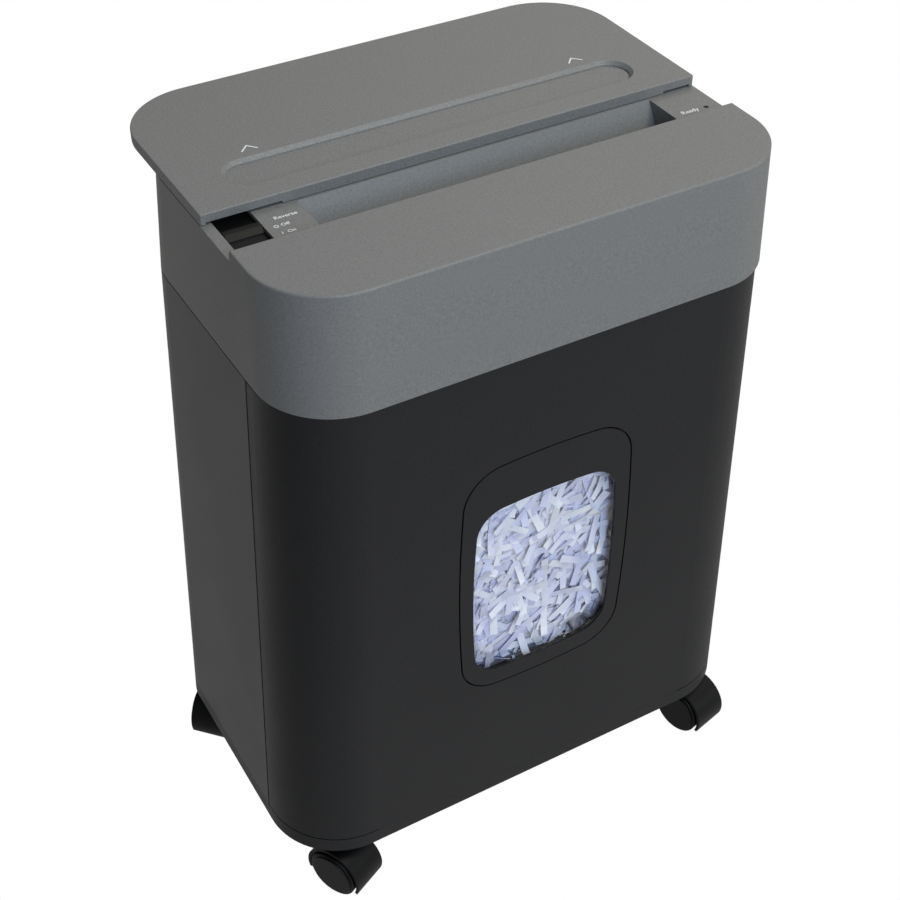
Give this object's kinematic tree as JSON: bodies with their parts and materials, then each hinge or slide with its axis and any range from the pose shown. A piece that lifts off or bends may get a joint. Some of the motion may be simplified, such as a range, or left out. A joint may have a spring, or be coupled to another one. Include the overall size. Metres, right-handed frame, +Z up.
{
  "type": "paper shredder",
  "caption": "Office cross-cut paper shredder: cutter head with a sliding throat cover on a flared cabinet with a windowed pull-out bin, on hooded twin-wheel casters.",
  "frame": {"origin": "on the floor, under the middle of the cutter head", "axes": "+X the user's right, +Y to the back, +Z up; the front of the drawer faces -Y"},
  "size_m": [0.3677, 0.2494, 0.4916],
  "materials": {
    "head_plastic": "grey moulded plastic with a fine spark texture",
    "cover_plastic": "grey moulded plastic with a fine spark texture",
    "cabinet_plastic": "charcoal moulded plastic with a fine spark texture",
    "front_plastic": "charcoal moulded plastic with a fine spark texture",
    "black_plastic": "black moulded plastic",
    "clear_pane": "clear smoke-free moulded pane",
    "shreds": "loose cross-cut paper",
    "plain_steel": "plain ground steel",
    "zinc_steel": "bright zinc plated steel",
    "motor_can": "black enamelled steel",
    "acetal": "natural acetal",
    "bronze": "sintered bronze",
    "board_green": "green solder mask",
    "lamp_green": "clear green lens",
    "magnet": "nickel plated",
    "tread": "hard black nylon"
  },
  "bodies": {
    "housing": {"head_shell": "head_plastic", "head_tray": "black_plastic", "head_screws": "zinc_steel", "left_side_plate": "plain_steel", "right_side_plate": "plain_steel", "tie_rods": "plain_steel", "shaft_bushes": "bronze", "idler_pin": "zinc_steel", "drive_motor": "motor_can", "front_stripper_comb": "acetal", "back_stripper_comb": "acetal", "switch_body": "black_plastic", "ready_lamp": "lamp_green", "sensor_pin": "zinc_steel", "control_board": "board_green", "cord_gland": "black_plastic", "base_tray": "front_plastic", "cabinet_shell": "cabinet_plastic", "left_bin_runner": "black_plastic", "right_bin_runner": "black_plastic", "bin_sensor": "black_plastic"},
    "cover": {"sliding_cover": "cover_plastic"},
    "drawer": {"drawer_front": "front_plastic", "window_bezel": "front_plastic", "window_pane": "clear_pane", "bin_tub": "black_plastic", "bin_screws": "zinc_steel", "shredded_paper": "shreds", "bin_magnet": "magnet"},
    "power_slider": {"switch_slider": "black_plastic"},
    "front_cutters": {"front_cutter": "plain_steel", "front_sync_gear": "plain_steel"},
    "back_cutters": {"back_cutter": "plain_steel", "back_sync_gear": "plain_steel", "cutter_gear": "plain_steel"},
    "idler": {"idler_gear": "acetal"},
    "motor_rotor": {"motor_pinion": "plain_steel"},
    "sensor_lever": {"paper_sensor_lever": "acetal"},
    "front_left_swivel": {"caster_front_left_hood": "black_plastic", "caster_front_left_stem": "zinc_steel", "caster_front_left_axle": "zinc_steel"},
    "front_left_left_wheel": {"caster_front_left_left_wheel": "tread"},
    "front_left_right_wheel": {"caster_front_left_right_wheel": "tread"},
    "front_right_swivel": {"caster_front_right_hood": "black_plastic", "caster_front_right_stem": "zinc_steel", "caster_front_right_axle": "zinc_steel"},
    "front_right_left_wheel": {"caster_front_right_left_wheel": "tread"},
    "front_right_right_wheel": {"caster_front_right_right_wheel": "tread"},
    "rear_left_swivel": {"caster_rear_left_hood": "black_plastic", "caster_rear_left_stem": "zinc_steel", "caster_rear_left_axle": "zinc_steel"},
    "rear_left_left_wheel": {"caster_rear_left_left_wheel": "tread"},
    "rear_left_right_wheel": {"caster_rear_left_right_wheel": "tread"},
    "rear_right_swivel": {"caster_rear_right_hood": "black_plastic", "caster_rear_right_stem": "zinc_steel", "caster_rear_right_axle": "zinc_steel"},
    "rear_right_left_wheel": {"caster_rear_right_left_wheel": "tread"},
    "rear_right_right_wheel": {"caster_rear_right_right_wheel": "tread"}
  },
  "joints": [
    {"name": "cover_slide", "type": "slide", "parent": "housing", "child": "cover", "axis": [0, -1, 0], "range_m": [0, 0.0377]},
    {"name": "drawer_slide", "type": "slide", "parent": "housing", "child": "drawer", "axis": [0, -1, 0], "range_m": [0, 0.15]},
    {"name": "power_slide", "type": "slide", "parent": "housing", "child": "power_slider", "axis": [0, 1, 0], "range_m": [0, 0.0154]},
    {"name": "back_cutter_spin", "type": "hinge", "parent": "housing", "child": "back_cutters", "pos_m": [0, -0.0205, 0.412], "axis": [1, 0, 0], "continuous": true},
    {"name": "front_cutter_spin", "type": "hinge", "parent": "housing", "child": "front_cutters", "pos_m": [0, -0.0565, 0.412], "axis": [1, 0, 0], "continuous": true},
    {"name": "idler_spin", "type": "hinge", "parent": "housing", "child": "idler", "pos_m": [0, 0.015, 0.43714], "axis": [1, 0, 0], "continuous": true},
    {"name": "motor_spin", "type": "hinge", "parent": "housing", "child": "motor_rotor", "pos_m": [0, 0.048, 0.437], "axis": [1, 0, 0], "continuous": true},
    {"name": "sensor_tip", "type": "hinge", "parent": "housing", "child": "sensor_lever", "pos_m": [0.011, -0.012, 0.452], "axis": [1, 0, 0], "range_deg": [0, 20], "stiffness_Nm_per_rad": 0.004, "springref_deg": -5.73},
    {"name": "front_left_swivel_turn", "type": "hinge", "parent": "housing", "child": "front_left_swivel", "pos_m": [-0.146, -0.082, 0.04], "axis": [0, 0, 1], "continuous": true},
    {"name": "front_left_left_wheel_roll", "type": "hinge", "parent": "front_left_swivel", "child": "front_left_left_wheel", "pos_m": [-0.13995, -0.09463, 0.018], "axis": [0.9018, 0.4321, 0], "continuous": true},
    {"name": "front_left_right_wheel_roll", "type": "hinge", "parent": "front_left_swivel", "child": "front_left_right_wheel", "pos_m": [-0.13995, -0.09463, 0.018], "axis": [0.9018, 0.4321, 0], "continuous": true},
    {"name": "front_right_swivel_turn", "type": "hinge", "parent": "housing", "child": "front_right_swivel", "pos_m": [0.146, -0.082, 0.04], "axis": [0, 0, 1], "continuous": true},
    {"name": "front_right_left_wheel_roll", "type": "hinge", "parent": "front_right_swivel", "child": "front_right_left_wheel", "pos_m": [0.14939, -0.09558, 0.018], "axis": [0.9703, 0.2419, 0], "continuous": true},
    {"name": "front_right_right_wheel_roll", "type": "hinge", "parent": "front_right_swivel", "child": "front_right_right_wheel", "pos_m": [0.14939, -0.09558, 0.018], "axis": [0.9703, 0.2419, 0], "continuous": true},
    {"name": "rear_left_swivel_turn", "type": "hinge", "parent": "housing", "child": "rear_left_swivel", "pos_m": [-0.15, 0.083, 0.04], "axis": [0, 0, 1], "continuous": true},
    {"name": "rear_left_left_wheel_roll", "type": "hinge", "parent": "rear_left_swivel", "child": "rear_left_left_wheel", "pos_m": [-0.16024, 0.07345, 0.018], "axis": [0.682, -0.7314, 0], "continuous": true},
    {"name": "rear_left_right_wheel_roll", "type": "hinge", "parent": "rear_left_swivel", "child": "rear_left_right_wheel", "pos_m": [-0.16024, 0.07345, 0.018], "axis": [0.682, -0.7314, 0], "continuous": true},
    {"name": "rear_right_swivel_turn", "type": "hinge", "parent": "housing", "child": "rear_right_swivel", "pos_m": [0.15, 0.083, 0.04], "axis": [0, 0, 1], "continuous": true},
    {"name": "rear_right_left_wheel_roll", "type": "hinge", "parent": "rear_right_swivel", "child": "rear_right_left_wheel", "pos_m": [0.15862, 0.07197, 0.018], "axis": [0.788, 0.6157, 0], "continuous": true},
    {"name": "rear_right_right_wheel_roll", "type": "hinge", "parent": "rear_right_swivel", "child": "rear_right_right_wheel", "pos_m": [0.15862, 0.07197, 0.018], "axis": [0.788, 0.6157, 0], "continuous": true}
  ],
  "couplings": [
    {"joint": "front_cutter_spin", "follows": "back_cutter_spin", "ratio": -1},
    {"joint": "idler_spin", "follows": "back_cutter_spin", "ratio": -3.1429},
    {"joint": "motor_spin", "follows": "back_cutter_spin", "ratio": 11.673}
  ]
}
